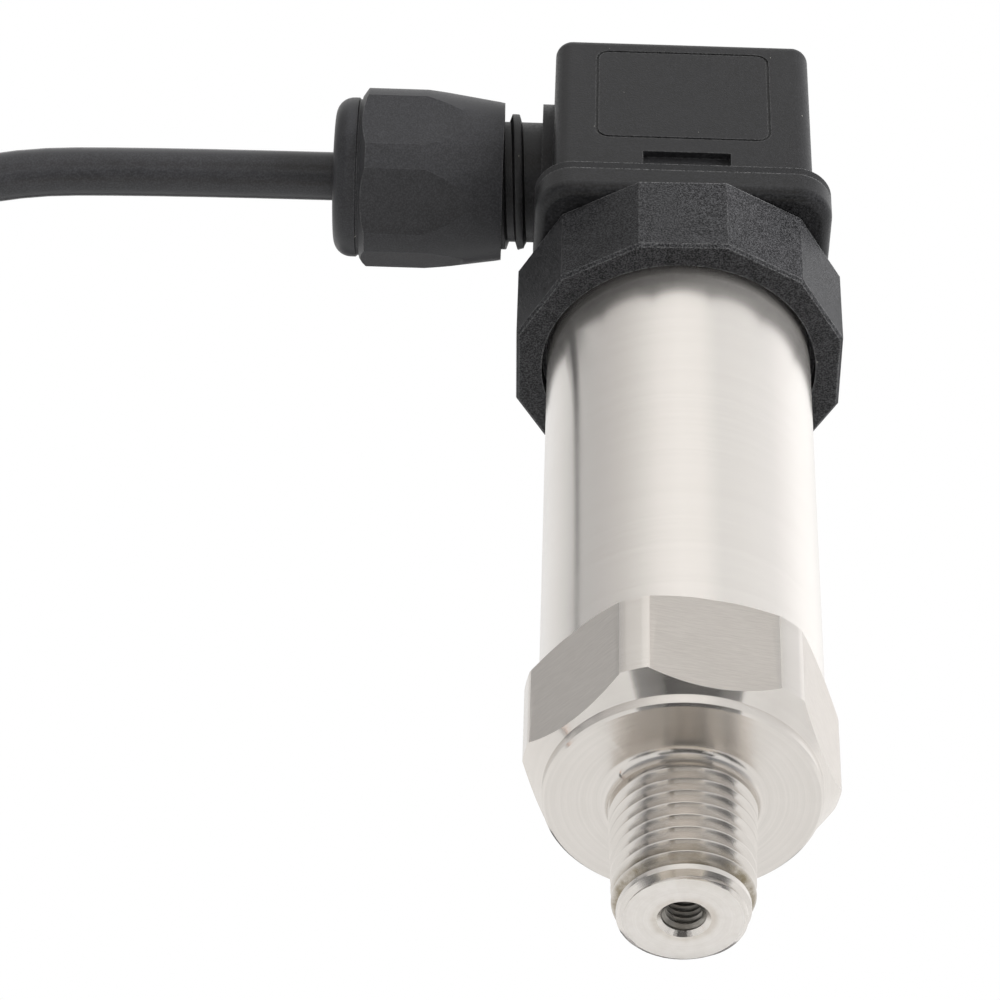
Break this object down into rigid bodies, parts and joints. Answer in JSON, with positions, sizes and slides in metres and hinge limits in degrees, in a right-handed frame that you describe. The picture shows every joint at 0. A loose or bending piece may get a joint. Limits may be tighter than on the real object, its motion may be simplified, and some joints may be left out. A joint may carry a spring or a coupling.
{
  "type": "pressure transmitter",
  "caption": "Pressure transmitter: hex port with tapered pipe thread, round steel housing, twelve-sided collar, box plug connector and a side cable gland with a fixed lead.",
  "frame": {"origin": "centre of the port's nose end face", "axes": "+Z along the axis from the port to the plug connector, the cable gland looks along -X, the plug's label face along -Y"},
  "size_m": [0.1231, 0.0741, 0.1699],
  "materials": {
    "port_steel": "turned stainless steel",
    "tube_steel": "bright drawn stainless steel",
    "seal_rubber": "matte",
    "gasket_rubber": "matte moulded",
    "cell_ceramic": "sintered ceramic",
    "tinned_copper": "tin plated",
    "board_laminate": "solder mask",
    "component_resin": "moulded resin",
    "wire_insulation": "soft insulation",
    "glass_filled_plastic": "matte glass filled",
    "base_plastic": "fine matte",
    "insert_brass": "machined",
    "plug_plastic": "fine matte",
    "terminal_plastic": "matte",
    "screw_steel": "zinc plated",
    "slip_plastic": "natural nylon",
    "nut_plastic": "glass filled nylon",
    "cable_jacket": "semi gloss",
    "tie_nylon": "satin nylon",
    "core_insulation": "soft insulation"
  },
  "bodies": {
    "root": {"pressure_port": "port_steel", "cell_seal": "seal_rubber", "pressure_cell": "cell_ceramic", "cell_clamp_ring": "port_steel", "cell_pins": "tinned_copper", "circuit_board": "board_laminate", "board_components": "component_resin", "board_leads": "wire_insulation", "housing_tube": "tube_steel", "collar_ring": "glass_filled_plastic", "connector_base": "base_plastic", "base_seal": "seal_rubber", "contact_blades": "tinned_copper", "earth_blade": "tinned_copper", "threaded_insert": "insert_brass", "connector_gasket": "gasket_rubber", "plug_housing": "plug_plastic", "terminal_insert": "terminal_plastic", "terminal_clips": "insert_brass", "terminal_screws": "screw_steel", "cable_seal": "seal_rubber", "cable": "cable_jacket", "cable_coil": "cable_jacket", "cable_tie": "tie_nylon", "cable_end": "cable_jacket", "plug_cores": "core_insulation", "free_cores": "core_insulation", "core_ferrules": "tinned_copper"},
    "gland_slide": {"gland_slip_ring": "slip_plastic"},
    "gland_nut": {"gland_nut": "nut_plastic"},
    "screw_slide": {"screw_seal": "seal_rubber"},
    "fixing_screw": {"fixing_screw": "screw_steel"}
  },
  "joints": [
    {"name": "gland_nut_travel", "type": "slide", "parent": "root", "child": "gland_slide", "axis": [-1, 0, 0], "range_m": [0, 0.006]},
    {"name": "gland_nut_turn", "type": "hinge", "parent": "gland_slide", "child": "gland_nut", "pos_m": [-0.026, 0, 0.1032], "axis": [-1, 0, 0], "range_deg": [0, 1081]},
    {"name": "fixing_screw_travel", "type": "slide", "parent": "root", "child": "screw_slide", "axis": [0, 0, 1], "range_m": [0, 0.006]},
    {"name": "fixing_screw_turn", "type": "hinge", "parent": "screw_slide", "child": "fixing_screw", "pos_m": [0, 0, 0.105], "axis": [0, 0, 1], "range_deg": [0, 4321]}
  ],
  "couplings": [
    {"joint": "gland_nut_turn", "follows": "gland_nut_travel", "rad_per_m": 3141.6},
    {"joint": "fixing_screw_turn", "follows": "fixing_screw_travel", "rad_per_m": 12566}
  ]
}
